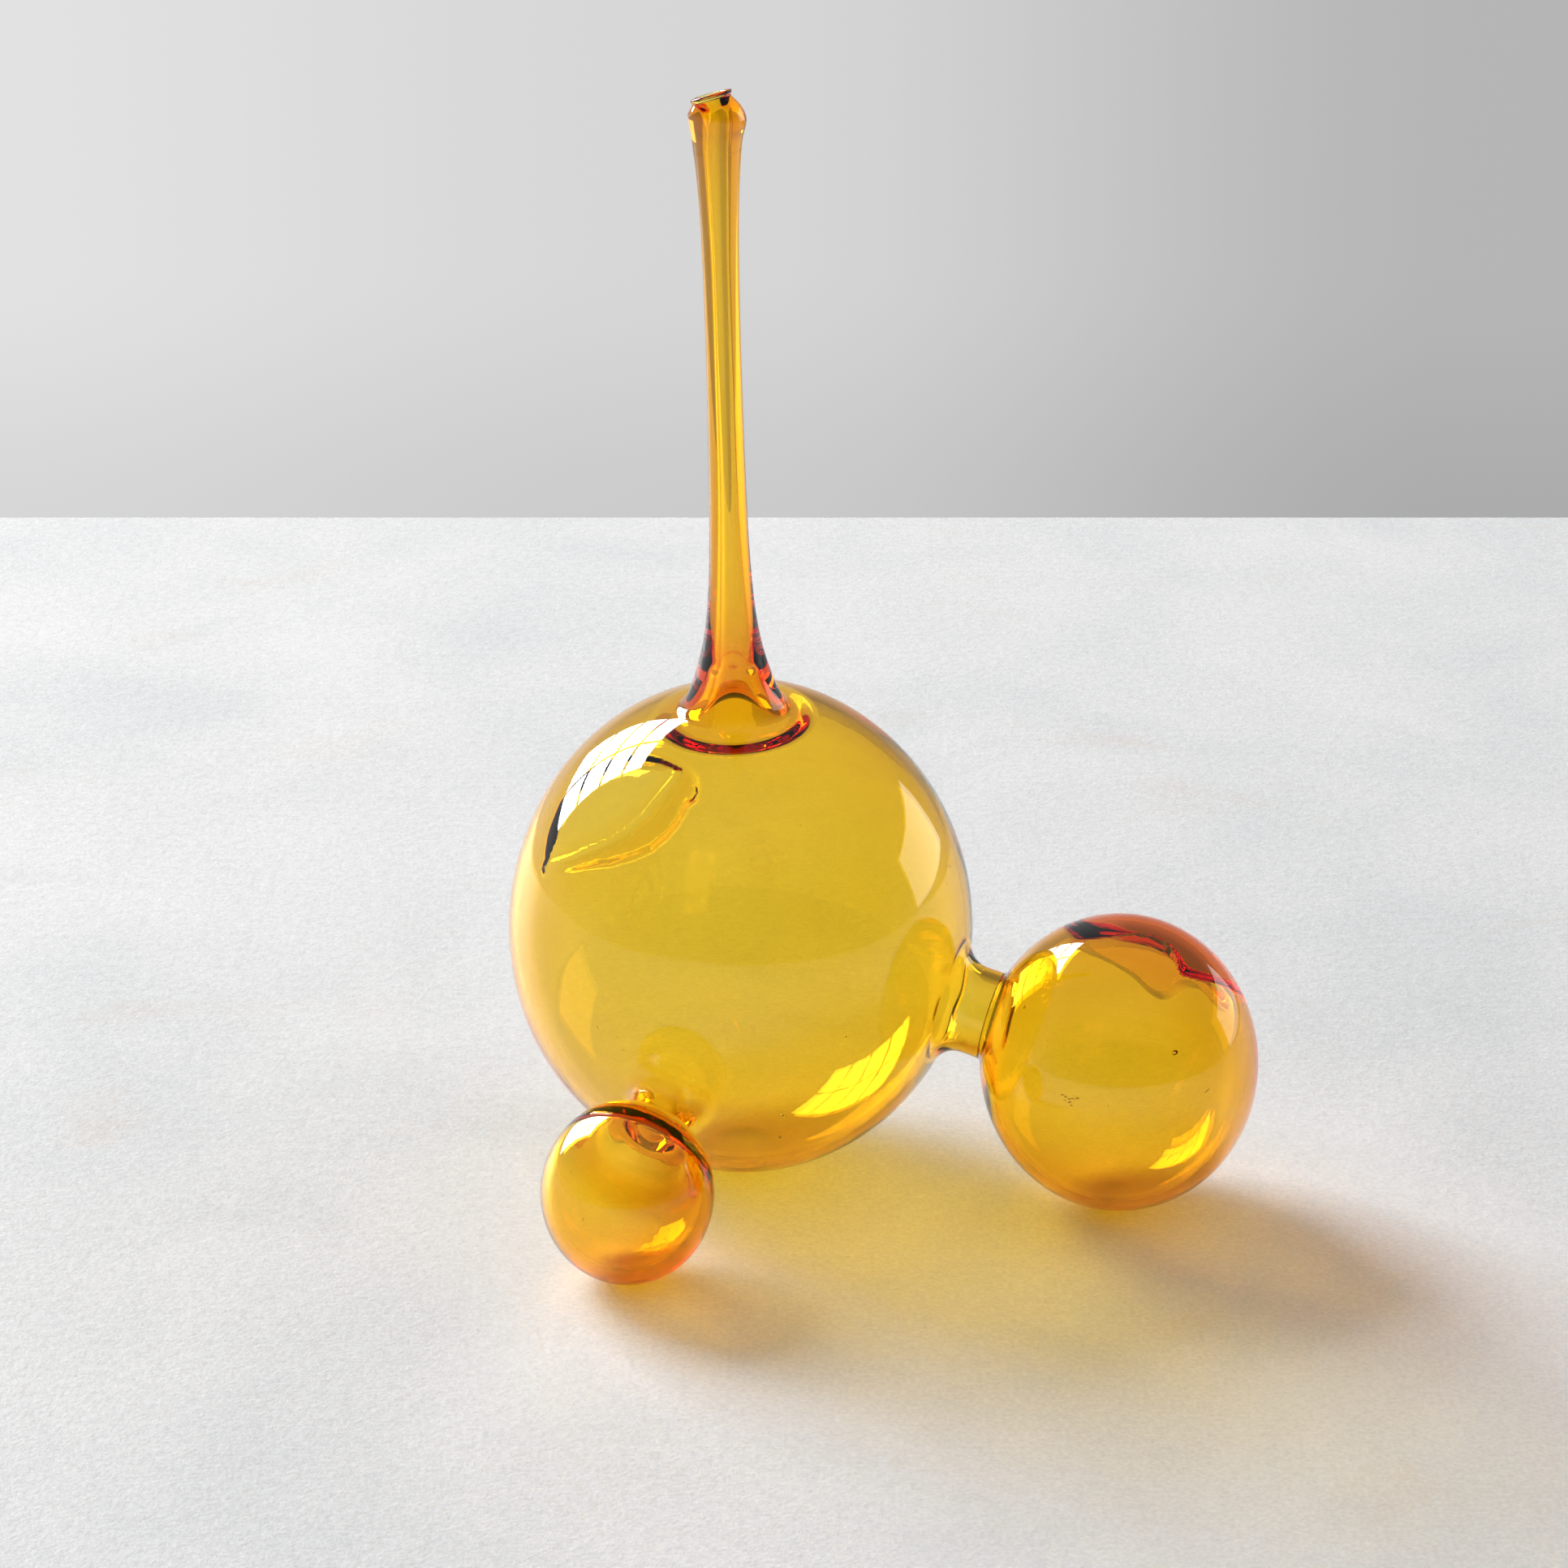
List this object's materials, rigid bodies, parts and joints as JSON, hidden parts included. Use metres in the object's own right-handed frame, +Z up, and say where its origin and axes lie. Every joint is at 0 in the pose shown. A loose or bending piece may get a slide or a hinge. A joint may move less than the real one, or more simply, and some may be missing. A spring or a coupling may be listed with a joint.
{
  "type": "blown glass bud vase",
  "caption": "Hand-blown amber glass bud vase: a large hollow globe with a long thick-walled drawn stem, joined by short hollow necks to smaller side globes.",
  "frame": {"origin": "centre of the ground flat under the main globe, on the table plane", "axes": "+Z up, close to the stem's axis; +X towards the larger side globe; -Y towards the smaller globe"},
  "size_m": [0.1761, 0.1432, 0.2646],
  "materials": {
    "amber_glass": "gloss",
    "deep_amber_glass": "gloss"
  },
  "bodies": {
    "root": {"main_globe": "amber_glass", "neck_collar": "deep_amber_glass", "stem": "amber_glass", "mouth_lip": "amber_glass", "side_bridge": "amber_glass", "side_globe": "deep_amber_glass", "small_bridge": "amber_glass", "small_globe": "deep_amber_glass"}
  },
  "joints": []
}
